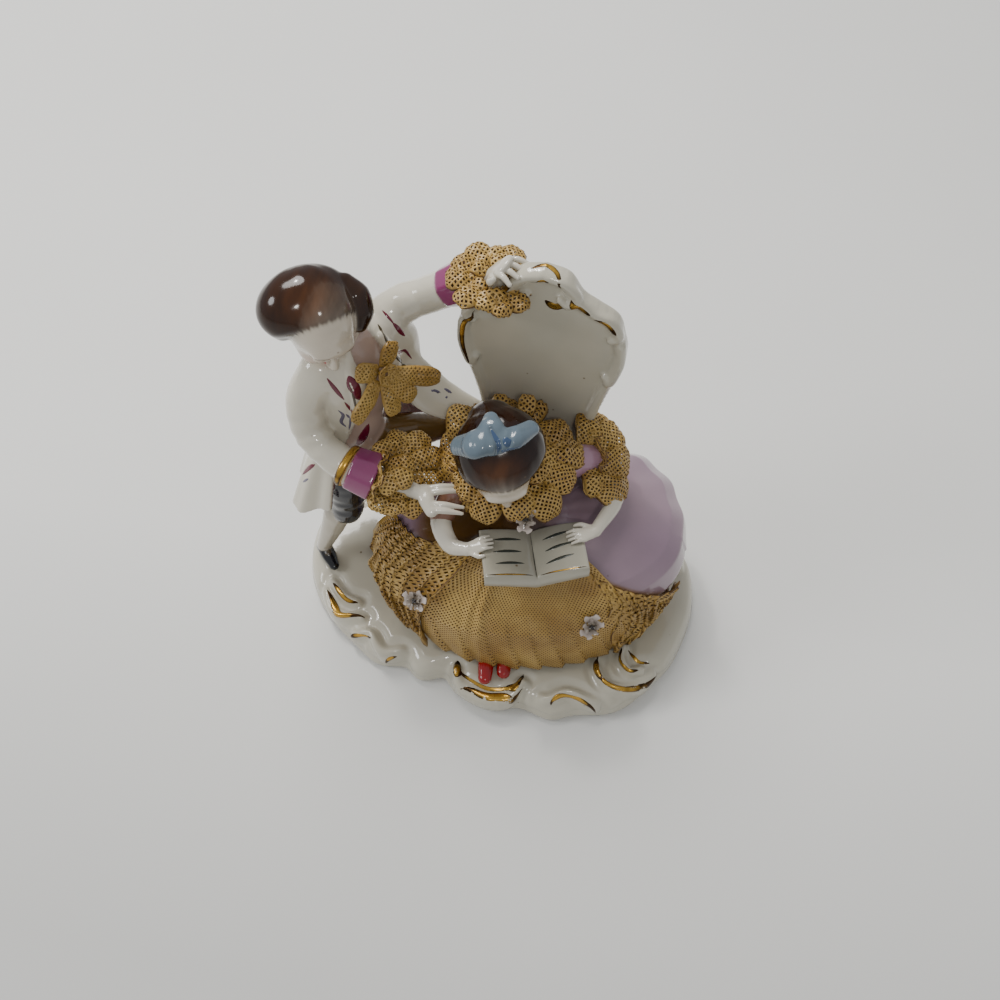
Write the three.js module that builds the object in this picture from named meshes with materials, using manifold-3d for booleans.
// Porcelain lace group on a rococo plinth: a seated lady reads in an open book, and a gentleman in a
// long coat leans over to her, with one hand on her arm and the other on the crest of her chair.
// Millimetres, +Z up. The origin is the middle of the plinth's underside, -Y is the front of the group
// and +X is the lady's left side.

import * as THREE from 'three';
import { mergeVertices } from 'three/addons/utils/BufferGeometryUtils.js';
import Module from 'manifold-3d';

const wasm = await Module();
wasm.setup();

// Clearance kept wherever one piece is set against another
const GAP = 0.3;

// Facets with an edge shorter than this are merged away, and so are corners that lie this near the
// facets round them
const SLIVER = 0.4;
const DEVIATION = 0.1;
const MERGE_PASSES = 6;

// Plinth
const BASE_LENGTH = 122;
const BASE_DEPTH = 83;
const BASE_HEIGHT = 9.6;
const BASE_RIM_ROUNDING = 5.5;
const BASE_FOOT_BEVEL = 1.4;
const BASE_SCROLL_RADIUS = 1.5;
const BASE_SCROLL_SINK = 0.6;

// Chair: its back is a flat cartouche that stands square to the plinth
const CHAIR_CENTRE_X = 6;
const CHAIR_FRONT_Y = 22;
const CHAIR_THICKNESS = 6;
const CHAIR_WAIST_WIDTH = 31;
const CHAIR_SHOULDER_WIDTH = 45;
const CHAIR_CREST_WIDTH = 20;
const CHAIR_SHOULDER_HEIGHT = 91;
const CHAIR_HEIGHT = 118;
const CHAIR_RIM = 2.6;
const CHAIR_RECESS = 1.2;
const CHAIR_BEVEL = 0.9;
const CHAIR_SCROLL_RADIUS = 1.25;
const SEAT_TOP = 36;
const SEAT_THICKNESS = 6;
const SEAT_DEPTH = 26;
const SEAT_OVERHANG = 1.5;
const SEAT_CORNER = 4;
const CHAIR_LEG_RADIUS = 2.3;
const CHAIR_LEG_BOW = 1.6;

// Lady: height from the plinth to her crown, and where and how she is turned
const LADY_HEIGHT = 82;
const LADY_X = 4.6;
const LADY_Y = 6;
const LADY_TURN = THREE.MathUtils.degToRad(12);
const SKIRT_WIDTH = 90;
const SKIRT_FRONT = 28;
const SKIRT_BACK = 26;
const LADY_HEAD_WIDTH = 21;

// Gentleman: height from the plinth to his crown, and where and how he is turned
const MAN_HEIGHT = 111;
const MAN_X = -43;
const MAN_Y = 10;
const MAN_TURN = THREE.MathUtils.degToRad(59);
const MAN_HEAD_WIDTH = 21;
const COAT_THICKNESS = 1.7;

// Book
const BOOK_WIDTH = 28.5;
const BOOK_PAGE_HEIGHT = 16.5;
const BOOK_THICKNESS = 3;
const BOOK_VALLEY = 2.4;
const BOOK_TILT = THREE.MathUtils.degToRad(9);
const BOOK_TURN = THREE.MathUtils.degToRad(18);

// Lace, as the net and its folds fill it; the angles are degrees from straight ahead
const SKIRT_LACE_THICKNESS = 1.3;
const SKIRT_LACE_PLEAT = 1.1;
const LACE_BACKING = 0.8;
const LACE_HEM = 2.6;
const LACE_FROM = -58;
const LACE_TO = 54;
const LACE_SEAM = 0.6;
const LACE_LEFT_SPAN = 38;
const LACE_RIGHT_SPAN = 27;
const SIDE_LACE_THICKNESS = 1.6;
const SIDE_LACE_FOLD = 2.2;
const FRILL_THICKNESS = 2.2;
const FRILL_WAVES = 5;
const FRILL_WAVE = 1.3;
const SLEEVE_FRILL_RADIUS = 12.5;
const CUFF_FRILL_RADIUS = 9.5;
const CUFF_HUB_RADIUS = 4;
const COLLAR_RADIUS = 20;
const COLLAR_LOOPS = 12;
const COLLAR_LOOP_WIDTH = 9;
const COLLAR_LOOP_HEIGHT = 5;
const COLLAR_TILT = THREE.MathUtils.degToRad(10);
const JABOT_LOOP_LENGTH = 12;
const JABOT_LOOP_WIDTH = 8.4;
const JABOT_LOOP_HEIGHT = 4;

// Trims
const HAIR_BOW_WIDTH = 21;
const FLOWER_RADIUS = 3.2;
const FLOWER_PETALS = 5;
const FLOWER_SINK = 1;

const GLOSS = 0.18;
const glaze = (color, roughness = GLOSS) => (
  new THREE.MeshStandardMaterial({ color, roughness, metalness: 0 })
);
const WHITE_GLAZE = glaze(0xe4e0d6);
const PINK_GLAZE = glaze(0xc9a3c4);
const LACE = glaze(0xb98f56, 0.55);
const BLUE_GLAZE = glaze(0x9db4d6);

// Corners nearer than this are one corner, in millimetres
const WELD = 1e-4;
// An edge is left alone where its merging would turn a facet by more than this cosine
const FOLD_COSINE = 0.8;

const vec = (x, y, z) => new THREE.Vector3(x, y, z);
const bell = (distance, width) => Math.exp(-0.5 * (distance / width) ** 2);
const clamp01 = (value) => THREE.MathUtils.clamp(value, 0, 1);

// Solid from a closed geometry; the faces are turned out when its volume comes out negative
function solidOf(geometry) {
  const bare = geometry.index ? geometry.toNonIndexed() : geometry.clone();
  bare.deleteAttribute('normal');
  bare.deleteAttribute('uv');
  const merged = mergeVertices(bare, WELD);
  const positions = merged.attributes.position.array;
  const triangles = Array.from(merged.index.array);
  const corner = (i) => vec(...positions.slice(3 * i, 3 * i + 3));
  const kept = [];
  let volume = 0;
  for (let k = 0; k < triangles.length; k += 3) {
    const [a, b, c] = triangles.slice(k, k + 3);
    if (a === b || b === c || c === a) continue;
    kept.push([a, b, c]);
    volume += corner(a).dot(corner(b).cross(corner(c)));
  }
  const faces = volume < 0 ? kept.map(([a, b, c]) => [a, c, b]) : kept;
  return new wasm.Manifold(new wasm.Mesh({
    numProp: 3,
    vertProperties: Float32Array.from(positions),
    triVerts: Uint32Array.from(faces.flat()),
  }));
}

const join = (solids) => solids.reduce((all, solid) => all.add(solid));

// The one body of a cut or joined piece, without crumbs or closed pockets
function oneBody(solid) {
  const bodies = solid.decompose();
  return bodies.reduce((best, body) => (body.volume() > best.volume() ? body : best));
}

// Merges the edge between corners `a` and `b` at one of the `places`, where that neither folds the skin,
// nor joins parts of it that only lie near each other, nor moves it by more than `deviation`
function mergeEdge(points, around, touched, [a, b], places, deviation) {
  const ring = (corner) => new Set(around[corner].flat().filter((other) => other !== corner));
  const [ringA, ringB] = [ring(a), ring(b)];
  if ([...ringA, ...ringB].some((corner) => touched.has(corner))) return;
  if ([...ringA].filter((corner) => ringB.has(corner)).length !== 2) return;
  const normalOf = ([p, q, r]) => q.clone().sub(p).cross(r.clone().sub(p));
  const kept = [...around[a], ...around[b]].filter((face) => !(face.includes(a) && face.includes(b)));
  const fits = (place) => kept.every((face) => {
    const before = normalOf(face.map((corner) => points[corner]));
    const moved = face.map((corner) => (corner === a || corner === b ? place : points[corner]));
    const after = normalOf(moved);
    const turned = before.dot(after) < FOLD_COSINE * before.length() * after.length();
    if (after.length() < WELD || turned) return false;
    const old = points[face.includes(a) ? a : b];
    return Math.abs(old.clone().sub(moved[0]).dot(after.normalize())) < deviation;
  });
  const place = places.find(fits);
  if (!place) return;
  [...ringA, ...ringB].forEach((corner) => touched.add(corner));
  points[a].copy(place);
  around[b].forEach((face) => {
    face[face.indexOf(b)] = a;
  });
}

// Facets of a solid, without its slivers and without corners that its shape doesn't need
function facetsOf(solid) {
  const { vertProperties, triVerts, numProp } = solid.getMesh();
  const points = [];
  for (let i = 0; i < vertProperties.length; i += numProp) {
    points.push(vec(...vertProperties.slice(i, i + 3)));
  }
  let faces = [];
  for (let i = 0; i < triVerts.length; i += 3) {
    faces.push(Array.from(triVerts.slice(i, i + 3)));
  }
  for (let pass = 0; pass < MERGE_PASSES; pass += 1) {
    const around = points.map(() => []);
    faces.forEach((face) => face.forEach((corner) => around[corner].push(face)));
    const lengthOf = ([a, b]) => points[a].distanceTo(points[b]);
    const touched = new Set();
    faces.flatMap(([a, b, c]) => [[a, b], [b, c], [c, a]])
      .filter(([a, b]) => a < b)
      .map((edge) => ({ edge, length: lengthOf(edge) }))
      .sort((e, f) => e.length - f.length)
      .forEach(({ edge, length }) => {
        const [p, q] = edge.map((corner) => points[corner].clone());
        if (length < SLIVER) mergeEdge(points, around, touched, edge, [p.clone().lerp(q, 0.5)], SLIVER);
        else mergeEdge(points, around, touched, edge, [p, q], DEVIATION);
      });
    faces = faces.filter(([a, b, c]) => a !== b && b !== c && c !== a);
  }
  const geometry = new THREE.BufferGeometry();
  geometry.setAttribute('position', new THREE.Float32BufferAttribute(points.flatMap((p) => p.toArray()), 3));
  geometry.setIndex(faces.flat());
  const bare = mergeVertices(geometry.toNonIndexed(), WELD / 10);
  bare.computeVertexNormals();
  return bare;
}

// Closed skin over rings of equally many points, with a fan over each end ring
function skin(rings) {
  const sides = rings[0].length;
  const positions = [];
  const index = [];
  const middle = (ring) => ring.reduce((sum, p) => sum.add(p), vec(0, 0, 0)).divideScalar(sides);
  rings.forEach((ring) => ring.forEach((p) => positions.push(p.x, p.y, p.z)));
  [rings[0], rings[rings.length - 1]].map(middle).forEach((p) => positions.push(p.x, p.y, p.z));
  const firstMiddle = rings.length * sides;
  for (let i = 0; i < sides; i += 1) {
    const next = (i + 1) % sides;
    for (let k = 0; k + 1 < rings.length; k += 1) {
      const low = k * sides;
      const high = low + sides;
      index.push(low + i, low + next, high + next, low + i, high + next, high + i);
    }
    const last = firstMiddle - sides;
    index.push(firstMiddle, next, i, firstMiddle + 1, last + i, last + next);
  }
  const geometry = new THREE.BufferGeometry();
  geometry.setAttribute('position', new THREE.Float32BufferAttribute(positions, 3));
  geometry.setIndex(index);
  return solidOf(geometry);
}

// Closed plate between two grids of points, outer[i][j] and inner[i][j]
function plate(outer, inner) {
  const columns = outer[0].length;
  const rings = outer.map((row, i) => [...row, ...inner[i].slice().reverse()]);
  const positions = rings.flat().flatMap((p) => [p.x, p.y, p.z]);
  const around = 2 * columns;
  const index = [];
  for (let k = 0; k + 1 < rings.length; k += 1) {
    for (let i = 0; i < around; i += 1) {
      const next = (i + 1) % around;
      const low = k * around;
      const high = low + around;
      index.push(low + i, low + next, high + next, low + i, high + next, high + i);
    }
  }
  const last = (rings.length - 1) * around;
  for (let j = 0; j + 1 < columns; j += 1) {
    const opposite = around - 1 - j;
    index.push(j, opposite, j + 1, j + 1, opposite, opposite - 1);
    index.push(last + j, last + j + 1, last + opposite, last + j + 1, last + opposite - 1, last + opposite);
  }
  const geometry = new THREE.BufferGeometry();
  geometry.setAttribute('position', new THREE.Float32BufferAttribute(positions, 3));
  geometry.setIndex(index);
  return solidOf(geometry);
}

// Round limb along a smooth path. Each point of the path has a radius, or two for a flattened limb:
// across `flat` and along it. The ends are domed, or only closed where they are small or sunk in.
function limb(path, radii, { sides = 6, steps = 1, flat = vec(0, 0, 1), domed = true, grow = 0 } = {}) {
  const curve = new THREE.CatmullRomCurve3(path, false, 'centripetal');
  const spans = path.length - 1;
  const count = spans * steps;
  const size = (u, k) => {
    const place = u * spans;
    const i = Math.min(Math.floor(place), spans - 1);
    const [low, high] = [radii[i], radii[i + 1]].map((r) => (Array.isArray(r) ? r[k] : r));
    return THREE.MathUtils.lerp(low, high, place - i) + grow;
  };
  const ringAt = (u, shift, share) => {
    const tangent = curve.getTangent(u);
    const across = vec(0, 0, 0).crossVectors(tangent, flat).normalize();
    const along = vec(0, 0, 0).crossVectors(across, tangent).normalize();
    const centre = curve.getPoint(u).addScaledVector(tangent, shift);
    return Array.from({ length: sides }, (_, i) => {
      const angle = (2 * Math.PI * i) / sides;
      return centre.clone()
        .addScaledVector(across, Math.cos(angle) * size(u, 0) * share)
        .addScaledVector(along, Math.sin(angle) * size(u, 1) * share);
    });
  };
  const domeShift = 0.75;
  const domeShare = 0.62;
  const reach = (u) => Math.min(size(u, 0), size(u, 1));
  const rings = Array.from({ length: count + 1 }, (_, k) => ringAt(k / count, 0, 1));
  if (domed) {
    rings.unshift(ringAt(0, -domeShift * reach(0), domeShare));
    rings.push(ringAt(1, domeShift * reach(1), domeShare));
  }
  return skin(rings);
}

// Ellipsoid with its own axes: `pose` turns it
function ball(centre, radii, { pose = new THREE.Quaternion(), around = 9, rings = 5, grow = 0 } = {}) {
  const geometry = new THREE.SphereGeometry(1, around, rings);
  geometry.rotateX(Math.PI / 2);
  geometry.scale(radii[0] + grow, radii[1] + grow, radii[2] + grow);
  geometry.applyQuaternion(pose);
  geometry.translate(centre.x, centre.y, centre.z);
  return solidOf(geometry);
}

// Upright body from level ovals: [height, centre x, centre y, half width, half depth]
function torso(place, levels, sides, grow) {
  const rings = levels.map(([z, cx, cy, rx, ry], k) => {
    const end = k === 0 ? -grow : k === levels.length - 1 ? grow : 0;
    return Array.from({ length: sides }, (_, i) => {
      const angle = (2 * Math.PI * i) / sides;
      return place(cx + (rx + grow) * Math.cos(angle), cy + (ry + grow) * Math.sin(angle), z + end);
    });
  });
  return skin(rings);
}

// Gathered lace round an arm: an annular frill with a waved edge, opening along `axis`
function frill(centre, axis, up, { bore, radius, flare, rise, grow }) {
  const direction = axis.clone().normalize();
  const side = vec(0, 0, 0).crossVectors(direction, up).normalize();
  const top = vec(0, 0, 0).crossVectors(side, direction).normalize();
  const around = FRILL_WAVES * 3;
  const spans = [0, 0.55, 1];
  const half = FRILL_THICKNESS / 2 + grow;
  const surface = (angle, t, offset) => {
    const edge = radius * (1 + rise * Math.sin(angle));
    const reach = THREE.MathUtils.lerp(bore - grow, edge + grow, t);
    const shift = flare * t * t + FRILL_WAVE * t * Math.sin(FRILL_WAVES * angle) + offset;
    return centre.clone()
      .addScaledVector(direction, shift)
      .addScaledVector(side, reach * Math.cos(angle))
      .addScaledVector(top, reach * Math.sin(angle));
  };
  const sections = Array.from({ length: around }, (_, i) => {
    const angle = (2 * Math.PI * i) / around;
    const front = spans.map((t) => surface(angle, t, half));
    const back = spans.map((t) => surface(angle, t, -half)).reverse();
    return [...front, ...back];
  });
  const count = sections[0].length;
  const positions = sections.flat().flatMap((p) => [p.x, p.y, p.z]);
  const index = [];
  for (let i = 0; i < around; i += 1) {
    const next = (i + 1) % around;
    for (let j = 0; j < count; j += 1) {
      const after = (j + 1) % count;
      const [a, b, c, d] = [i * count + j, next * count + j, next * count + after, i * count + after];
      index.push(a, b, c, a, c, d);
    }
  }
  const geometry = new THREE.BufferGeometry();
  geometry.setAttribute('position', new THREE.Float32BufferAttribute(positions, 3));
  geometry.setIndex(index);
  return solidOf(geometry);
}

// Places a figure's own points: x to its left, -y ahead of it, z above the plinth
function figurePlace(x, y, turn, scale) {
  return (px, py, pz) => vec(px, py, pz).multiplyScalar(scale)
    .applyAxisAngle(vec(0, 0, 1), turn)
    .add(vec(x, y, BASE_HEIGHT));
}

// The figures' own points are written for these heights, and scale with the height that is set
const ladyScale = LADY_HEIGHT / 82;
const manScale = MAN_HEIGHT / 111;
const lady = figurePlace(LADY_X, LADY_Y, LADY_TURN, ladyScale);
const man = figurePlace(MAN_X, MAN_Y, MAN_TURN, manScale);

// Plinth outline in polar form: an oval with scrolled lobes and notches
const BASE_LOBES = [
  { angle: -41, width: 11, reach: 6.8 },
  { angle: -61, width: 5, reach: 4 },
  { angle: -82, width: 7, reach: 3 },
  { angle: -104.5, width: 4, reach: -3.8 },
  { angle: -121, width: 4, reach: -2.8 },
  { angle: -130, width: 5, reach: 1.1 },
  { angle: -20, width: 6, reach: 1.6 },
  { angle: 18, width: 7, reach: 1.6 },
  { angle: 52, width: 9, reach: 2.6 },
  { angle: 72, width: 4, reach: -1.8 },
  { angle: 92, width: 10, reach: 1.8 },
  { angle: 112, width: 4, reach: -1.8 },
  { angle: 132, width: 9, reach: 2.4 },
  { angle: 168, width: 8, reach: 0.8 },
];

function baseRadius(angle) {
  const oval = 1 / Math.hypot(Math.cos(angle) / (BASE_LENGTH / 2), Math.sin(angle) / (BASE_DEPTH / 2));
  const degrees = THREE.MathUtils.radToDeg(angle);
  return BASE_LOBES.reduce((r, lobe) => {
    const away = ((degrees - lobe.angle + 540) % 360) - 180;
    return r + lobe.reach * bell(away, lobe.width);
  }, oval);
}

// Height of the plinth's upper side over a point of its plan
function baseTop(x, y) {
  const inset = THREE.MathUtils.clamp(baseRadius(Math.atan2(y, x)) - Math.hypot(x, y), 0, BASE_RIM_ROUNDING);
  const fromMiddle = BASE_RIM_ROUNDING - inset;
  return BASE_HEIGHT - BASE_RIM_ROUNDING + Math.sqrt(BASE_RIM_ROUNDING ** 2 - fromMiddle ** 2);
}

// C-scrolls that stand out of the plinth's upper side: each point is an angle and its inset from the rim
const BASE_SCROLLS = [
  [[-162, 5.3], [-155, 6.2], [-152, 8.6]],
  [[-159, 1.9], [-150, 1.4], [-145, 5.9]],
  [[-141, 0.6], [-137, 4], [-128, 1.7], [-124, 2.3]],
  [[-99, 3.2], [-94, 0.7], [-83, 0.9], [-74, 0.8], [-68, 5.6]],
  [[-62, 3.3], [-53, 4.4], [-46, 0.8]],
  [[-34, 15.7], [-38, 12.6], [-40, 6.6], [-37, 3], [-32, 0.7], [-26, 0.6]],
  [[-25, 12.8], [-29, 10.3], [-31, 6], [-28, 3.7]],
  [[12, 4.3], [21, 3.4], [31, 5], [38, 9.6]],
  [[52, 6.6], [66, 2.7], [81, 3.4], [99, 4.7], [113, 4.5]],
  [[126, 6.7], [138, 5.3], [150, 4.3], [162, 6.1]],
];

function basePiece() {
  const around = 52;
  const rimSteps = 2;
  const ringAt = (inset, z) => Array.from({ length: around }, (_, i) => {
    const angle = (2 * Math.PI * i) / around;
    const r = baseRadius(angle) - inset;
    return vec(r * Math.cos(angle), r * Math.sin(angle), z);
  });
  const rings = [ringAt(BASE_FOOT_BEVEL, 0), ringAt(0, BASE_FOOT_BEVEL)];
  for (let k = 0; k <= rimSteps; k += 1) {
    const angle = (k / rimSteps) * Math.PI / 2;
    const inset = BASE_RIM_ROUNDING * (1 - Math.cos(angle));
    rings.push(ringAt(inset, BASE_HEIGHT - BASE_RIM_ROUNDING * (1 - Math.sin(angle))));
  }
  const scrolls = BASE_SCROLLS.map((plan) => {
    const path = plan.map(([degrees, inset]) => {
      const angle = THREE.MathUtils.degToRad(degrees);
      const r = baseRadius(angle) - inset;
      const [x, y] = [r * Math.cos(angle), r * Math.sin(angle)];
      return vec(x, y, baseTop(x, y) - BASE_SCROLL_SINK);
    });
    const swell = (k) => 0.6 + 0.4 * Math.sin((Math.PI * k) / (plan.length - 1));
    const radii = plan.map((_, k) => BASE_SCROLL_RADIUS * swell(k));
    return limb(path, radii, { sides: 4, domed: false });
  });
  return join([skin(rings), ...scrolls]);
}

// Half widths of the chair's back against height, from the seat rail to the crest
function chairHalfWidths() {
  const waist = CHAIR_WAIST_WIDTH / 2;
  const shoulder = CHAIR_SHOULDER_WIDTH / 2;
  const crest = CHAIR_CREST_WIDTH / 2;
  const rise = CHAIR_SHOULDER_HEIGHT - SEAT_TOP;
  const fall = CHAIR_HEIGHT - CHAIR_SHOULDER_HEIGHT;
  return [
    [waist, SEAT_TOP - SEAT_THICKNESS],
    [waist, SEAT_TOP + 0.25 * rise],
    [THREE.MathUtils.lerp(waist, shoulder, 0.22), SEAT_TOP + 0.53 * rise],
    [THREE.MathUtils.lerp(waist, shoulder, 0.68), SEAT_TOP + 0.8 * rise],
    [shoulder, CHAIR_SHOULDER_HEIGHT],
    [0.955 * shoulder, CHAIR_SHOULDER_HEIGHT + 0.24 * fall],
    [THREE.MathUtils.lerp(crest, shoulder, 0.75), CHAIR_SHOULDER_HEIGHT + 0.47 * fall],
    [THREE.MathUtils.lerp(crest, shoulder, 0.33), CHAIR_SHOULDER_HEIGHT + 0.61 * fall],
    [crest, CHAIR_SHOULDER_HEIGHT + 0.72 * fall],
    [0.62 * crest, CHAIR_SHOULDER_HEIGHT + 0.93 * fall],
    [0, CHAIR_HEIGHT],
  ];
}

// Cartouche outline of the chair's back, drawn inside the true edge by `inset`
function chairOutline(inset, lowest) {
  const side = chairHalfWidths().map(([x, z]) => new THREE.Vector2(x, z));
  const curve = new THREE.SplineCurve(side);
  const samples = curve.getPoints(17);
  const right = [];
  samples.forEach((p, k) => {
    const before = samples[Math.max(k - 1, 0)];
    const after = samples[Math.min(k + 1, samples.length - 1)];
    const along = after.clone().sub(before).normalize();
    const atTop = k === samples.length - 1;
    const inward = atTop ? new THREE.Vector2(0, -1) : new THREE.Vector2(-along.y, along.x);
    const moved = p.clone().addScaledVector(inward, inset);
    if (moved.y >= lowest && (moved.x > 0.4 || atTop)) right.push(moved);
  });
  right[right.length - 1].x = 0;
  const foot = new THREE.Vector2(right[0].x, lowest);
  const half = right[0].y - lowest > 0.05 ? [foot, ...right] : right;
  const left = half.slice(0, -1).reverse().map((p) => new THREE.Vector2(-p.x, p.y));
  return new THREE.Shape([...half, ...left]);
}

// Upright slab: an outline in X and Z, from `front` back by `depth`
function slab(shape, front, depth, bevel) {
  const sides = { bevelSize: bevel, bevelThickness: bevel, bevelSegments: 1 };
  const options = bevel > 0
    ? { ...sides, depth: depth - 2 * bevel, bevelEnabled: true }
    : { depth, bevelEnabled: false };
  const geometry = new THREE.ExtrudeGeometry(shape, { ...options, curveSegments: 6 });
  geometry.rotateX(Math.PI / 2);
  geometry.translate(CHAIR_CENTRE_X, front + depth - Math.max(bevel, 0), 0);
  return solidOf(geometry);
}

function seatShape(grow) {
  const half = CHAIR_WAIST_WIDTH / 2 + SEAT_OVERHANG + grow;
  const front = CHAIR_FRONT_Y + CHAIR_THICKNESS - SEAT_DEPTH - grow;
  const back = CHAIR_FRONT_Y + CHAIR_THICKNESS + grow;
  const shape = new THREE.Shape();
  shape.moveTo(-half, back);
  shape.lineTo(-half, front + SEAT_CORNER);
  shape.quadraticCurveTo(-half, front, SEAT_CORNER - half, front);
  shape.lineTo(half - SEAT_CORNER, front);
  shape.quadraticCurveTo(half, front, half, front + SEAT_CORNER);
  shape.lineTo(half, back);
  return shape;
}

function chairForms(grow) {
  const back = slab(
    chairOutline(CHAIR_BEVEL - grow, SEAT_TOP - SEAT_THICKNESS),
    CHAIR_FRONT_Y - grow,
    CHAIR_THICKNESS + 2 * grow,
    CHAIR_BEVEL,
  );
  const seatGeometry = new THREE.ExtrudeGeometry(seatShape(grow), {
    depth: SEAT_THICKNESS + 2 * grow,
    bevelEnabled: false,
    curveSegments: 4,
  });
  seatGeometry.translate(CHAIR_CENTRE_X, 0, SEAT_TOP - SEAT_THICKNESS - grow);
  const legY = CHAIR_FRONT_Y + CHAIR_THICKNESS / 2;
  const legFoot = BASE_HEIGHT + GAP + CHAIR_LEG_RADIUS;
  const legTop = SEAT_TOP - SEAT_THICKNESS;
  const legs = [-1, 1].map((side) => {
    const legX = CHAIR_CENTRE_X + side * (CHAIR_WAIST_WIDTH / 2 - CHAIR_LEG_RADIUS);
    const path = [
      vec(legX, legY, legTop + 1),
      vec(legX + side * CHAIR_LEG_BOW, legY, THREE.MathUtils.lerp(legFoot, legTop, 0.68)),
      vec(legX - side * 0.4 * CHAIR_LEG_BOW, legY, THREE.MathUtils.lerp(legFoot, legTop, 0.3)),
      vec(legX + side * 0.8 * CHAIR_LEG_BOW, legY, legFoot),
    ];
    return limb(path, [1.25, 1.1, 0.72, 1].map((share) => share * CHAIR_LEG_RADIUS), {
      sides: 6, flat: vec(0, 1, 0), grow,
    });
  });
  return [back, solidOf(seatGeometry), ...legs];
}

// Raised scrolls of the crest and shoulders, on the front edge of the chair's back
function crestScrolls(grow) {
  const fall = CHAIR_HEIGHT - CHAIR_SHOULDER_HEIGHT;
  const crest = CHAIR_CREST_WIDTH / 2;
  const shoulder = CHAIR_SHOULDER_WIDTH / 2;
  const y = CHAIR_FRONT_Y + 0.5;
  const at = (x, share) => vec(CHAIR_CENTRE_X + x, y, CHAIR_SHOULDER_HEIGHT + share * fall);
  const plans = [
    [[0.1 * crest, 0.93], [0.55 * crest, 0.87], [0.85 * crest, 0.72], [0.62 * crest, 0.62]],
    [[crest, 0.68], [1.25 * crest, 0.57], [0.78 * shoulder, 0.5], [0.9 * shoulder, 0.3]],
    [[0.94 * shoulder, 0.16], [0.93 * shoulder, -0.1], [0.86 * shoulder, -0.4]],
  ];
  return [-1, 1].flatMap((side) => plans.map((plan) => {
    const path = plan.map(([x, share]) => at(side * x, share));
    const radii = path.map((_, k) => (k === 0 || k === path.length - 1 ? 0.65 : 1) * CHAIR_SCROLL_RADIUS);
    return limb(path, radii, { sides: 4, flat: vec(0, 1, 0), domed: false, grow });
  }));
}

function chairPiece() {
  const recess = slab(
    chairOutline(CHAIR_RIM, SEAT_TOP + CHAIR_RIM),
    CHAIR_FRONT_Y - 1,
    CHAIR_RECESS + 1,
    0,
  );
  return join([join(chairForms(0)).subtract(recess), ...crestScrolls(0)]);
}

// Skirt levels: height above the plinth and the shares of its half width, front and back
const SKIRT_MIDDLE_X = 3;
const SKIRT_MIDDLE_Y = -10.5;
const SKIRT_LEVELS = [
  [0.3, 0.86, 0.96, 0.84],
  [3, 0.88, 1, 0.9],
  [10, 0.95, 0.985, 0.97],
  [19, 1, 0.93, 1],
  [25, 0.96, 0.83, 0.98],
  [29, 0.87, 0.72, 0.92],
  [32.4, 0.71, 0.58, 0.79],
  [35.2, 0.46, 0.42, 0.6],
  [38.5, 0.2, 0.24, 0.36],
];
const SKIRT_SQUARENESS = 2.5;
// The overskirt is puffed out beyond the oval at her left hip, beside the chair
const PANNIER = { angle: 134, width: 21, reach: 12, height: 22, spread: 12 };
const SKIRT_FOLDS = 9;
const SKIRT_FOLD_DEPTH = 0.8;

// Interpolates a skirt level at any height
function skirtShares(z) {
  const k = Math.max(SKIRT_LEVELS.findIndex(([height]) => height >= z), 1);
  const low = SKIRT_LEVELS[k - 1];
  const high = SKIRT_LEVELS[k];
  const t = clamp01((z - low[0]) / (high[0] - low[0]));
  return [1, 2, 3].map((i) => THREE.MathUtils.lerp(low[i], high[i], t));
}

// Point on the skirt's own surface: `angle` runs from straight ahead round by the lady's left side
function skirtSurface(angle, z) {
  const [wide, front, back] = skirtShares(z);
  const a = (wide * SKIRT_WIDTH) / 2;
  const ahead = Math.cos(angle) > 0;
  const b = ahead ? front * SKIRT_FRONT : back * SKIRT_BACK;
  const power = ahead ? 2 : SKIRT_SQUARENESS;
  const s = Math.sin(angle);
  const c = Math.cos(angle);
  const oval = (Math.abs(s / a) ** power + Math.abs(c / b) ** power) ** (-1 / power);
  const fold = ahead ? 0 : SKIRT_FOLD_DEPTH * Math.sin(SKIRT_FOLDS * angle) * clamp01(1 - z / 36);
  const away = ((THREE.MathUtils.radToDeg(angle) - PANNIER.angle + 540) % 360) - 180;
  const puff = PANNIER.reach * bell(away, PANNIER.width) * bell(z - PANNIER.height, PANNIER.spread);
  const r = oval + fold + puff;
  return lady(SKIRT_MIDDLE_X + r * s, SKIRT_MIDDLE_Y - r * c, z);
}

// Point that stands off the skirt by `offset`, square to its surface
function skirtPoint(angle, z, offset) {
  const around = skirtSurface(angle + 0.02, z).sub(skirtSurface(angle - 0.02, z));
  const rise = skirtSurface(angle, z + 0.6).sub(skirtSurface(angle, z - 0.6));
  const out = vec(0, 0, 0).crossVectors(around, rise).normalize();
  return skirtSurface(angle, z).addScaledVector(out, offset);
}

function skirtBody(grow) {
  const around = 32;
  const top = SKIRT_LEVELS.length - 1;
  const rings = SKIRT_LEVELS.map(([z], k) => {
    const end = k === 0 ? -grow : k === top ? grow : 0;
    return Array.from({ length: around }, (_, i) => {
      const p = skirtPoint((2 * Math.PI * i) / around, z, grow);
      return p.add(vec(0, 0, end));
    });
  });
  return skin(rings);
}

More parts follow.
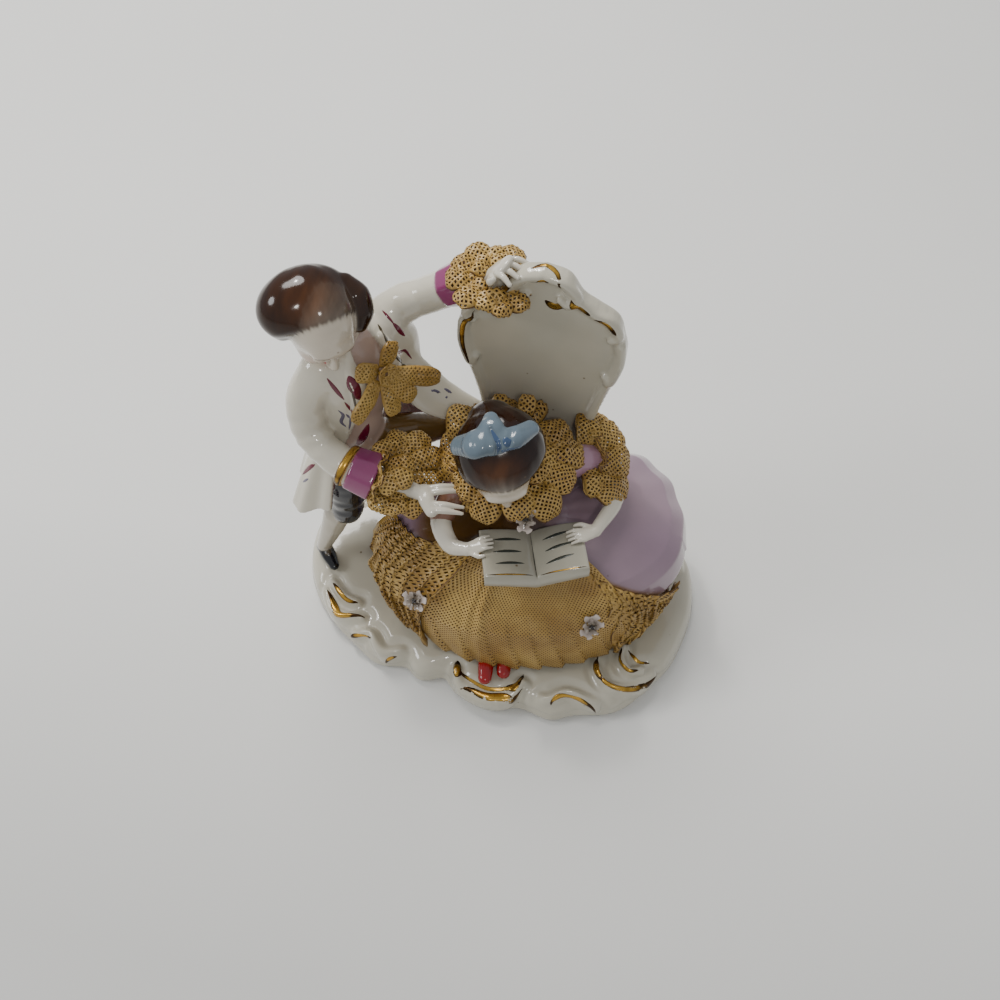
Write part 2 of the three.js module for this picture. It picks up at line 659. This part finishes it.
// A head's own frame: -y is the way it faces, z its crown
function headFrame(place, centre, yaw, pitch, roll, width) {
  const turnOf = place(0, -1, 0).sub(place(0, 0, 0));
  const heading = Math.atan2(turnOf.x, -turnOf.y);
  const pose = new THREE.Quaternion()
    .setFromAxisAngle(vec(0, 0, 1), heading + THREE.MathUtils.degToRad(yaw))
    .multiply(new THREE.Quaternion().setFromAxisAngle(vec(1, 0, 0), THREE.MathUtils.degToRad(pitch)))
    .multiply(new THREE.Quaternion().setFromAxisAngle(vec(0, 1, 0), THREE.MathUtils.degToRad(roll)));
  const middle = place(...centre);
  const unit = width / 2;
  const at = (x, y, z) => vec(x, y, z).multiplyScalar(unit).applyQuaternion(pose).add(middle);
  return { at, pose, unit };
}

const LADY_HEAD = headFrame(lady, [-5.9, -10.6, 67.4], 15, 38, -6, LADY_HEAD_WIDTH);
const MAN_HEAD = headFrame(man, [-4.4, 2.6, 96.6], -20, 36, 4, MAN_HEAD_WIDTH);

// Skull, jaw, nose and hair; the sizes are shares of the head's half width
function headForms(head, grow) {
  const { at, pose, unit } = head;
  const blob = (centre, radii, detail = {}) => ball(
    at(...centre), radii.map((r) => r * unit), { pose, grow, ...detail },
  );
  return [
    blob([0, 0, 0.05], [0.94, 1.02, 1.02]),
    blob([0, -0.22, -0.52], [0.7, 0.74, 0.62], { around: 8, rings: 5 }),
    blob([0, -0.82, -0.86], [0.26, 0.22, 0.2], { around: 6, rings: 4 }),
    limb([at(0, -0.94, -0.02), at(0, -1.12, -0.34)], [0.08 * unit, 0.17 * unit], { sides: 5, grow }),
  ];
}

function ladyHair(grow) {
  const { at, pose, unit } = LADY_HEAD;
  return [
    ball(at(0, 0.2, 0.26), [1.1 * unit, 1.02 * unit, 0.98 * unit], { pose, grow, around: 11, rings: 6 }),
    ball(at(0, 1, -0.06), [0.62 * unit, 0.5 * unit, 0.6 * unit], { pose, grow, around: 8, rings: 4 }),
    ...[-1, 1].map((side) => ball(at(side * 0.88, 0.05, -0.2), [0.24 * unit, 0.4 * unit, 0.5 * unit], {
      pose, grow, around: 6, rings: 4,
    })),
  ];
}

function manHair(grow) {
  const { at, pose, unit } = MAN_HEAD;
  return [
    ball(at(0, 0.24, 0.24), [1.26 * unit, 1 * unit, 0.84 * unit], { pose, grow, around: 11, rings: 6 }),
    ...[-1, 1].map((side) => limb(
      [at(side * 1.14, 0.5, 0.1), at(side * 1.12, -0.1, -0.16)], [0.34 * unit, 0.3 * unit], { grow },
    )),
    limb([at(0, 0.9, 0), at(0, 1.12, -0.55), at(0, 0.98, -1.2)], [0.36 * unit, 0.32 * unit, 0.2 * unit], {
      grow,
    }),
  ];
}

// Hand: a flat palm, a thumb, and fingers from the knuckles to the tips, which `spread` opens
function hand(wrist, knuckles, tips, { palmUp, width, fingers, spread, thumb, grow }) {
  const along = tips.clone().sub(wrist).normalize();
  const across = vec(0, 0, 0).crossVectors(along, palmUp).normalize();
  const palm = limb([wrist, knuckles], [[0.36 * width, 0.26 * width], [0.5 * width, 0.24 * width]], {
    sides: 6, flat: palmUp, domed: false, grow,
  });
  const pitch = width / fingers;
  const all = Array.from({ length: fingers }, (_, i) => {
    const k = i - (fingers - 1) / 2;
    const root = knuckles.clone().addScaledVector(across, pitch * k);
    const tip = tips.clone().addScaledVector(across, (pitch + spread * width) * k);
    tip.addScaledVector(along, -0.1 * width * Math.abs(k));
    const radii = [0.52 * pitch, 0.38 * pitch].map((r) => [r, Math.min(r, 0.16 * width)]);
    return limb([root, tip], radii, { sides: 4, flat: palmUp, domed: false, grow });
  });
  const root = wrist.clone().lerp(knuckles, 0.35).addScaledVector(across, 0.35 * thumb * width);
  const tip = wrist.clone().lerp(knuckles, 0.95).addScaledVector(across, 0.95 * thumb * width);
  return [palm, ...all, limb([root, tip], [0.15 * width, 0.11 * width], { sides: 5, domed: false, grow })];
}

const LADY_TORSO = [
  [34, 0, -2, 12, 10],
  [38, 0, -2, 8.2, 6.6],
  [43, 0, -2.8, 9.2, 7.8],
  [48, 0, -3.2, 10.4, 8.6],
  [52, 0, -2.2, 10.8, 7],
  [54.6, -0.3, -1.8, 7.6, 5.4],
  [56.6, -0.6, -2, 4.6, 4.5],
];
const LADY_LEFT_ARM = [
  [9, -1.5, 50.5],
  [17.5, 3, 47.6],
  [25.4, 5.6, 43.8],
  [26.6, -6, 41.4],
  [20.5, -17.4, 43],
];
const LADY_LEFT_RADII = [4.6, 4.2, 3, 2.7, 1.9];
const LADY_RIGHT_ARM = [
  [-9, -1.5, 50.5],
  [-16.5, -5.5, 48],
  [-22, -13, 43.6],
  [-19.6, -20.6, 41.4],
  [-14.6, -23, 42.4],
];
const LADY_RIGHT_RADII = [4.6, 4.2, 3.2, 2.7, 1.9];

// Arms, hands and slippers
function ladyLimbs(grow) {
  const arm = (path, radii) => limb(path.map((p) => lady(...p)), radii, { steps: 2, grow });
  const slippers = [-1, 1].map((side) => limb(
    [lady(side * 2.7 - 6.6, -33, 1.9), lady(side * 2.7 - 7.4, -42, 1.6)],
    [[1.9, 1.5], [1.5, 1.1]], { grow },
  ));
  return [
    arm(LADY_LEFT_ARM, LADY_LEFT_RADII),
    arm(LADY_RIGHT_ARM, LADY_RIGHT_RADII),
    ...hand(lady(20.5, -17.4, 43.2), lady(17, -19.2, 43.9), lady(13.2, -20.4, 43.8), {
      palmUp: vec(0, 0, 1), width: 4.4, fingers: 2, spread: 0.02, thumb: 1, grow,
    }),
    ...hand(lady(-14.6, -23, 42.6), lady(-11.8, -22.4, 43.6), lady(-8.2, -21.2, 44), {
      palmUp: vec(0, 0, 1), width: 4.4, fingers: 2, spread: 0.02, thumb: 1, grow,
    }),
    ...slippers,
  ];
}

function ladyForms(grow) {
  const nape = [lady(-0.4, -1.8, 54), lady(-2.4, -4.8, 59.4), lady(-4.4, -8, 64)];
  const neck = limb(nape, [4.5, 3.9, 4], { grow });
  return [
    skirtBody(grow),
    torso(lady, LADY_TORSO, 11, grow),
    neck,
    ...headForms(LADY_HEAD, grow),
    ...ladyHair(grow),
    ...ladyLimbs(grow),
  ];
}

// Open book: a shallow valley fold in section, turned and tilted as she holds it
function bookPiece(grow) {
  const half = BOOK_WIDTH / 2 + grow;
  const low = -BOOK_THICKNESS - grow;
  const slope = BOOK_VALLEY;
  const shape = new THREE.Shape([
    new THREE.Vector2(0, grow),
    new THREE.Vector2(half * 0.5, slope * 0.75 + grow),
    new THREE.Vector2(half, slope + grow),
    new THREE.Vector2(half, slope + low),
    new THREE.Vector2(0, low),
    new THREE.Vector2(-half, slope + low),
    new THREE.Vector2(-half, slope + grow),
    new THREE.Vector2(-half * 0.5, slope * 0.75 + grow),
  ]);
  const depth = BOOK_PAGE_HEIGHT + 2 * grow;
  const geometry = new THREE.ExtrudeGeometry(shape, { depth, bevelEnabled: false });
  geometry.rotateX(Math.PI / 2);
  geometry.translate(0, depth / 2, 0);
  geometry.rotateX(-BOOK_TILT);
  geometry.rotateZ(BOOK_TURN);
  const middle = lady(3.4, -23.4, 40.2);
  geometry.translate(middle.x, middle.y, middle.z);
  return solidOf(geometry);
}

const MAN_TORSO = [
  [46, -3, 0.5, 9.4, 7.6],
  [52, -2.8, 0, 9.6, 8],
  [58, -1.2, -0.4, 9.2, 7.4],
  [66, 1.8, -0.2, 11.4, 8.2],
  [74, 3, 0.4, 12.4, 8.6],
  [80, 3.4, 1.6, 12.6, 7.6],
  [84.4, 4, 2, 9, 6],
  [87.4, 3, 2.2, 5.4, 5],
];
const MAN_RIGHT_SLEEVE = [
  [-7.4, 2.4, 79],
  [-13, 3.6, 71],
  [-15.6, 0.6, 62.6],
  [-15.8, -6.4, 58.4],
  [-14.4, -13.4, 56.6],
];
const MAN_RIGHT_WRIST = [[-11.6, -17.9, 55], [-5.6, -25.8, 50.4], [-1.6, -30.6, 47.8]];

// His left hand rests where the crest rises from the chair's shoulder, and its arm reaches up to there
const HAND_ON_CREST = 0.47;
const handRest = THREE.MathUtils.lerp(CHAIR_SHOULDER_HEIGHT, CHAIR_HEIGHT, HAND_ON_CREST) - BASE_HEIGHT;
const atRest = (x, y, rise) => [x, y, handRest / manScale + rise];
const MAN_LEFT_SLEEVE = [[12.6, 1.8, 81.4], [19.4, -0.6, 84.6], [24.4, -6, 88.4], atRest(28, -12, -0.69)];
const MAN_LEFT_WRIST = [atRest(28, -12, -0.69), atRest(31, -19.4, 3.31), atRest(32.4, -24.2, 7.11)];

// Coat skirts by the angle from straight ahead round by his left side: radius and height where they
// leave the body, and radius and height of the hem
const COAT_LEVELS = [
  [50, 14, 77, 35, 49],
  [72, 16, 77, 30, 40],
  [95, 12.5, 70, 22, 32],
  [120, 9.5, 64, 17, 29],
  [180, 6.6, 60, 14.5, 27],
  [225, 6.8, 60, 17, 27.5],
  [262, 7, 60, 22, 29.5],
  [290, 6.8, 58, 18.5, 33],
];
const COAT_PLEAT = 0.9;
const COAT_FLARE = 0.85;

function coatLevels(degrees) {
  const k = Math.max(COAT_LEVELS.findIndex(([angle]) => angle >= degrees), 1);
  const [low, high] = [COAT_LEVELS[k - 1], COAT_LEVELS[k]];
  const t = THREE.MathUtils.smoothstep(degrees, low[0], high[0]);
  return [1, 2, 3, 4].map((i) => THREE.MathUtils.lerp(low[i], high[i], t));
}

function coatSkirt(grow) {
  const columns = 17;
  const rows = 4;
  const [first, last] = [COAT_LEVELS[0][0], COAT_LEVELS[COAT_LEVELS.length - 1][0]];
  const surface = (i, j, offset) => {
    const degrees = THREE.MathUtils.lerp(first, last, j / (columns - 1));
    const angle = THREE.MathUtils.degToRad(degrees);
    const t = i / (rows - 1);
    const [radius, height, hemRadius, hemHeight] = coatLevels(degrees);
    const pleat = COAT_PLEAT * Math.sin(THREE.MathUtils.degToRad(degrees * 10)) * t;
    const reach = THREE.MathUtils.lerp(radius, hemRadius, t ** COAT_FLARE) + pleat + offset;
    const z = THREE.MathUtils.lerp(height, hemHeight, t);
    return man(-2 + reach * Math.sin(angle), 0.2 - reach * Math.cos(angle), z);
  };
  const grid = (offset) => Array.from({ length: rows }, (_, i) => (
    Array.from({ length: columns }, (__, j) => surface(i, j, offset))
  ));
  return plate(grid(COAT_THICKNESS / 2 + grow), grid(-COAT_THICKNESS / 2 - grow));
}

function manForms(grow) {
  const along = (path, radii, options = {}) => limb(path.map((p) => man(...p)), radii, { grow, ...options });
  const leg = (hip, thigh, knee, calf, ankle) => [
    along([hip, thigh, knee], [6.6, 5.8, 4.5]),
    along([knee, calf, ankle], [4.1, 4, 2.5]),
  ];
  const shoe = (heel, toe) => along([heel, toe], [[2.7, 2.2], [2.3, 1.5]]);
  return [
    torso(man, MAN_TORSO, 12, grow),
    coatSkirt(grow),
    along([[3, 2, 84], [-0.6, 2.2, 90], [-3, 2.2, 94]], [5, 4.5, 4.5]),
    ...headForms(MAN_HEAD, grow),
    ...manHair(grow),
    ...leg([-7, 0.6, 50], [-10, -3.4, 38], [-12.4, -4.6, 26.5], [-16.6, -0.4, 15], [-20, 2, 4.4]),
    ...leg([1, 0.6, 50], [5.6, -4, 38], [8.8, -6, 26.5], [12.4, -2.2, 15], [15, 0.4, 4.4]),
    shoe([-20, 3, 2.7], [-22.8, -5, 1.9]),
    shoe([15, 1.2, 2.7], [16, -8.4, 1.9]),
    along(MAN_RIGHT_SLEEVE, [5.6, 5.1, 4.6, 4.1, 4.2], { steps: 2 }),
    along([[-14.4, -13.4, 56.6], [-11, -18.4, 54.4]], [5, 5.5], { sides: 8 }),
    along(MAN_RIGHT_WRIST, [2.7, 2.4, 2.1]),
    ...hand(man(-2.4, -30, 48.4), man(0.4, -33, 47.6), man(4.6, -36.4, 46.6), {
      palmUp: vec(0, 0, 1), width: 5, fingers: 3, spread: 0.05, thumb: 1, grow,
    }),
    along(MAN_LEFT_SLEEVE, [5.4, 5, 4.5, 4.4]),
    along([atRest(27, -10.4, -2.09), atRest(29, -13.8, 1.31)], [5, 5.2], { sides: 8 }),
    along(MAN_LEFT_WRIST, [2.7, 2.4, 2.1]),
    ...hand(
      man(...atRest(32.4, -23.4, 7.51)),
      man(...atRest(32.9, -25.2, 10.71)),
      man(...atRest(33.6, -28.8, 11.51)),
      { palmUp: vec(0, 0, 1), width: 5.8, fingers: 4, spread: 0.1, thumb: 1, grow },
    ),
  ];
}

// Lace laid on the skirt between two angles, in slanting pleats or gathered folds. Its top runs between
// two heights.
function skirtLace({ from, to, low, high, columns, thickness, depth, folds, slant }) {
  const rows = 7;
  const point = (s, t, height) => {
    const angle = THREE.MathUtils.degToRad(THREE.MathUtils.lerp(from, to, s));
    const z = THREE.MathUtils.lerp(low, THREE.MathUtils.lerp(...high, s), t);
    return skirtPoint(angle, z, LACE_BACKING + height);
  };
  const grid = (heightOf) => Array.from({ length: rows }, (_, i) => (
    Array.from({ length: columns }, (__, j) => {
      const [s, t] = [j / (columns - 1), i / (rows - 1)];
      return point(s, t, heightOf(s, t));
    })
  ));
  const fold = (s, t) => depth * Math.abs(Math.sin(Math.PI * folds * (s + slant * t))) * (1 - 0.7 * t);
  return plate(grid((s, t) => thickness + fold(s, t)), grid(() => 0));
}

const skirtLaceFront = () => skirtLace({
  from: LACE_FROM, to: LACE_TO, low: LACE_HEM, high: [35, 35], columns: 23,
  thickness: SKIRT_LACE_THICKNESS, depth: SKIRT_LACE_PLEAT, folds: 11, slant: 0.12,
});
const skirtLaceLeft = () => skirtLace({
  from: LACE_FROM - LACE_SEAM - LACE_LEFT_SPAN, to: LACE_FROM - LACE_SEAM,
  low: LACE_HEM, high: [33, 33], columns: 13,
  thickness: SIDE_LACE_THICKNESS, depth: SIDE_LACE_FOLD, folds: 5, slant: 0.2,
});
const skirtLaceRight = () => skirtLace({
  from: LACE_TO + LACE_SEAM, to: LACE_TO + LACE_SEAM + LACE_RIGHT_SPAN,
  low: LACE_HEM, high: [31, 13], columns: 13,
  thickness: SIDE_LACE_THICKNESS, depth: SIDE_LACE_FOLD, folds: 5, slant: -0.15,
});

// One lace loop: a flattened puff that runs out from `root` to `tip`
function loop(root, tip, width, height, up, grow) {
  const middle = root.clone().lerp(tip, 0.55).addScaledVector(up, 0.25 * height);
  const shares = [[0.26, 0.3], [0.5, 0.5], [0.3, 0.34]];
  const radii = shares.map(([across, along]) => [across * width, along * height]);
  return limb([root, middle, tip], radii, { sides: 5, flat: up, domed: false, grow });
}

// Collar: loops set round the neck, dipping to the front and lying on the shoulders
function collarForms(grow) {
  const centre = lady(-2.2, -1.4, 55.8);
  const tiltAxis = lady(1, 0, 0).sub(lady(0, 0, 0)).normalize();
  const pose = new THREE.Quaternion().setFromAxisAngle(tiltAxis, COLLAR_TILT);
  const up = vec(0, 0, 1).applyQuaternion(pose);
  const at = (radius, angle, height) => centre.clone()
    .add(vec(radius * Math.cos(angle), radius * Math.sin(angle), height).applyQuaternion(pose));
  return Array.from({ length: COLLAR_LOOPS }, (_, i) => {
    const angle = (2 * Math.PI * (i + 0.5)) / COLLAR_LOOPS;
    const odd = i % 2;
    const tip = at(COLLAR_RADIUS * (odd ? 0.92 : 1), angle, odd ? -1.6 : -3.4);
    return loop(at(0.26 * COLLAR_RADIUS, angle, 1), tip, COLLAR_LOOP_WIDTH, COLLAR_LOOP_HEIGHT, up, grow);
  });
}

// Lace ruffle at the end of her sleeve: `share` of the arm's path, `axis` the way it opens
function sleeveFrill(path, share, axis, size) {
  const curve = new THREE.CatmullRomCurve3(path.map((p) => lady(...p)), false, 'centripetal');
  const direction = lady(...axis).sub(lady(0, 0, 0));
  return frill(curve.getPoint(share), direction, vec(0, 0, 1), {
    bore: 2, radius: SLEEVE_FRILL_RADIUS * size, flare: 2.2, rise: 0.04, grow: 0,
  });
}

// Lace ruffles of his cuffs on a common hub: each has its share of the wrist's path and its size, and
// they open along `axis`
function cuffFrills({ wrist, axis, flare, ruffles }, grow) {
  const curve = new THREE.CatmullRomCurve3(wrist.map((p) => man(...p)), false, 'centripetal');
  const direction = man(...axis).sub(man(0, 0, 0));
  const shares = ruffles.map(([share]) => share);
  const hub = [Math.min(...shares) - 0.1, Math.max(...shares) + 0.1].map((share) => curve.getPoint(share));
  const frills = ruffles.map(([share, size]) => frill(curve.getPoint(share), direction, vec(0, 0, 1), {
    bore: 1.6, radius: CUFF_FRILL_RADIUS * size, flare, rise: 0.05, grow,
  }));
  return [limb(hub, [CUFF_HUB_RADIUS, CUFF_HUB_RADIUS], { grow }), ...frills];
}

const RIGHT_CUFF = {
  wrist: MAN_RIGHT_WRIST, axis: [0.5, -0.75, -0.3], flare: 3.2, ruffles: [[0.2, 1.05], [0.6, 0.95]],
};
const LEFT_CUFF = { wrist: MAN_LEFT_WRIST, axis: [0, -0.1, 1], flare: 2, ruffles: [[0.86, 1.2]] };

// Jabot: a lace bow at his throat; each loop's run, in shares of its length, to his left, back and up
const JABOT_LOOPS = [
  [0.3, 0.15, 0.55],
  [-0.75, 0.2, 0.4],
  [-0.8, -0.1, -0.6],
  [-0.1, -0.36, -0.64],
  [0.82, -0.5, -0.42],
];

function jabotForms(grow) {
  const knot = man(3.5, -9.6, 78.4);
  const ahead = man(0, -1, 0.3).sub(man(0, 0, 0)).normalize();
  const loops = JABOT_LOOPS.map((run) => {
    const tip = man(...run).sub(man(0, 0, 0)).multiplyScalar(JABOT_LOOP_LENGTH).add(knot);
    return loop(knot, tip, JABOT_LOOP_WIDTH, JABOT_LOOP_HEIGHT, ahead, grow);
  });
  return [ball(knot, [2.6, 2.6, 2.6], { around: 6, rings: 4, grow }), ...loops];
}

function hairBowForms(grow) {
  const { at, pose, unit } = LADY_HEAD;
  const half = HAIR_BOW_WIDTH / 2 / unit;
  const up = at(0, 0.6, 0.8).sub(at(0, 0, 0)).normalize();
  const knot = at(0, 0.72, 1.1);
  const lobes = [
    [at(-half * 0.74, 0.66, 1.02), 6.4],
    [at(half * 0.74, 0.76, 1.02), 6.4],
    [at(-0.05, 1.2, 0.84), 6],
  ].map(([tip, width]) => limb([knot, tip], [[2, 1.6], [width / 2, 1.9]], { sides: 6, flat: up, grow }));
  return [ball(knot, [2.2, 2.2, 1.9], { pose, around: 6, rings: 4, grow }), ...lobes];
}

// Applied flower: petals round a middle, one petal chipped away
function flower(centre, outward, spin) {
  const pose = new THREE.Quaternion().setFromUnitVectors(vec(0, 0, 1), outward.clone().normalize());
  const at = (x, y, z) => vec(x, y, z).applyQuaternion(pose).add(centre);
  const half = FLOWER_RADIUS / 2;
  const petals = Array.from({ length: FLOWER_PETALS - 1 }, (_, i) => {
    const angle = spin + (2 * Math.PI * i) / FLOWER_PETALS;
    const petal = at(0.56 * FLOWER_RADIUS * Math.cos(angle), 0.56 * FLOWER_RADIUS * Math.sin(angle), 0.6);
    return ball(petal, [half, half, 0.25 * FLOWER_RADIUS], { pose, around: 5, rings: 3 });
  });
  return join([ball(centre, [half, half, 0.4 * FLOWER_RADIUS], { pose, around: 6, rings: 4 }), ...petals]);
}

// Flower on the skirt's lace, at an angle and a height; it stands clear of folds `depth` high
const skirtFlower = (degrees, z, depth, spin) => {
  const angle = THREE.MathUtils.degToRad(degrees);
  const seat = skirtPoint(angle, z, LACE_BACKING + depth + FLOWER_SINK);
  const outward = skirtPoint(angle, z, 1).sub(skirtPoint(angle, z, 0)).add(vec(0, 0, 0.5));
  return flower(seat, outward, spin);
};

// Forms grown by the gap, which clear the neighbours of each piece
const cutChair = join(chairForms(GAP));
const cutCrest = join(crestScrolls(GAP));
const cutBook = bookPiece(GAP);
const cutLady = join(ladyForms(GAP));
const cutLimbs = join(ladyLimbs(GAP));
const cutMan = join(manForms(GAP));
const cutBow = join(hairBowForms(GAP));
const cutFigures = join([cutLady, cutMan, cutChair, cutCrest, cutBook, cutBow]);
const cutCollar = join(collarForms(GAP));
const cutCuffRight = join(cuffFrills(RIGHT_CUFF, GAP));

const clearOf = (solid, ...others) => others.reduce((left, other) => left.subtract(other), solid);

const group = new THREE.Group();

// Adds one piece as a named mesh
function addPiece(name, solid, material) {
  const mesh = new THREE.Mesh(facetsOf(oneBody(solid)), material);
  mesh.name = name;
  group.add(mesh);
}

addPiece('base', basePiece(), WHITE_GLAZE);
addPiece('chair', chairPiece(), WHITE_GLAZE);
addPiece('book', bookPiece(0), WHITE_GLAZE);

const ladyBody = clearOf(join(ladyForms(0)), cutChair, cutBook);
addPiece('lady', ladyBody, PINK_GLAZE);
addPiece('hair_bow', clearOf(join(hairBowForms(0)), cutLady), BLUE_GLAZE);

const gentleman = clearOf(join(manForms(0)), cutLady, cutChair, cutCrest, cutBook);
addPiece('gentleman', gentleman, WHITE_GLAZE);

addPiece('lace_skirt', clearOf(skirtLaceFront(), cutLimbs, cutBook), LACE);
addPiece('lace_side_left', clearOf(skirtLaceLeft(), cutLimbs, cutMan), LACE);
addPiece('lace_side_right', skirtLaceRight(), LACE);
addPiece('lace_collar', clearOf(join(collarForms(0)), cutFigures), LACE);

const sleeveLeft = sleeveFrill(LADY_LEFT_ARM, 0.43, [1, 0.1, 0], 1);
addPiece('lace_sleeve_left', clearOf(sleeveLeft, cutFigures, cutCollar), LACE);
const sleeveRight = sleeveFrill(LADY_RIGHT_ARM, 0.24, [-1, -0.5, -0.2], 0.74);
addPiece('lace_sleeve_right', clearOf(sleeveRight, cutFigures, cutCollar, cutCuffRight), LACE);

const cuffRight = join(cuffFrills(RIGHT_CUFF, 0));
addPiece('lace_cuff_right', clearOf(cuffRight, cutFigures, cutCollar), LACE);
const cuffLeft = join(cuffFrills(LEFT_CUFF, 0));
addPiece('lace_cuff_left', clearOf(cuffLeft, cutFigures), LACE);
addPiece('lace_jabot', clearOf(join(jabotForms(0)), cutFigures), LACE);

const flowerLeft = skirtFlower(-62, 24.5, SIDE_LACE_THICKNESS + SIDE_LACE_FOLD, 0.4);
addPiece('flower_left', clearOf(flowerLeft, cutMan), WHITE_GLAZE);
const flowerRight = skirtFlower(35, 21, SKIRT_LACE_THICKNESS + SKIRT_LACE_PLEAT, 1.2);
addPiece('flower_right', flowerRight, WHITE_GLAZE);
const flowerBreast = flower(lady(2.4, -12.4, 50), lady(0, -1, 0.5).sub(lady(0, 0, 0)), 2);
addPiece('flower_breast', clearOf(flowerBreast, cutCollar, cutLady), WHITE_GLAZE);

export default group;
